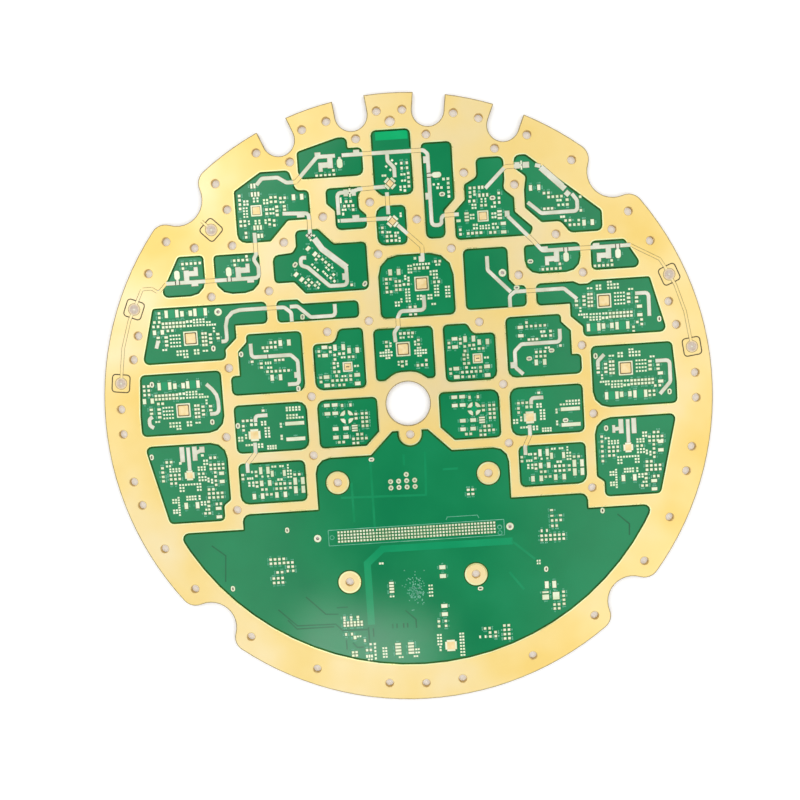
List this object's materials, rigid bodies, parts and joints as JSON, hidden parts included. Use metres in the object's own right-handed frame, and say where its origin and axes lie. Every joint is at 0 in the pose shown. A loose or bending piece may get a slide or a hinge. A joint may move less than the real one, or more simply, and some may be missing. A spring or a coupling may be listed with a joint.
{
  "type": "bare circuit board",
  "caption": "Round bare circuit board for a radio-frequency unit: green compartments between gold-plated ribs, edge notches, a big centre hole, solder pads and screw holes.",
  "frame": {"origin": "on the axis of the centre hole, at the underside", "axes": "+Z out of the front face; +Y towards the edge with the U-notches"},
  "size_m": [0.24, 0.24, 0.0018],
  "materials": {
    "laminate": "bare woven-glass laminate, matt",
    "gold_plate": "thin gold over nickel on copper, satin",
    "green_mask": "green liquid solder mask, low gloss",
    "pale_line": "tinned or silvered copper line, satin",
    "pale_pad": "thin gold over nickel, bright",
    "bright_mask": "green solder mask over copper, low gloss"
  },
  "bodies": {
    "root": {"laminate": "laminate", "ground_plane_back": "gold_plate", "ground_copper_front": "gold_plate", "solder_mask": "green_mask", "rf_lines": "pale_line", "chip_paddles": "gold_plate", "component_pads": "pale_pad", "connector_pads": "pale_pad", "standoff_lands": "gold_plate", "header_lands": "gold_plate", "launch_lands": "gold_plate", "ring_and_oval_lands": "pale_pad", "mask_over_copper": "bright_mask"}
  },
  "joints": []
}
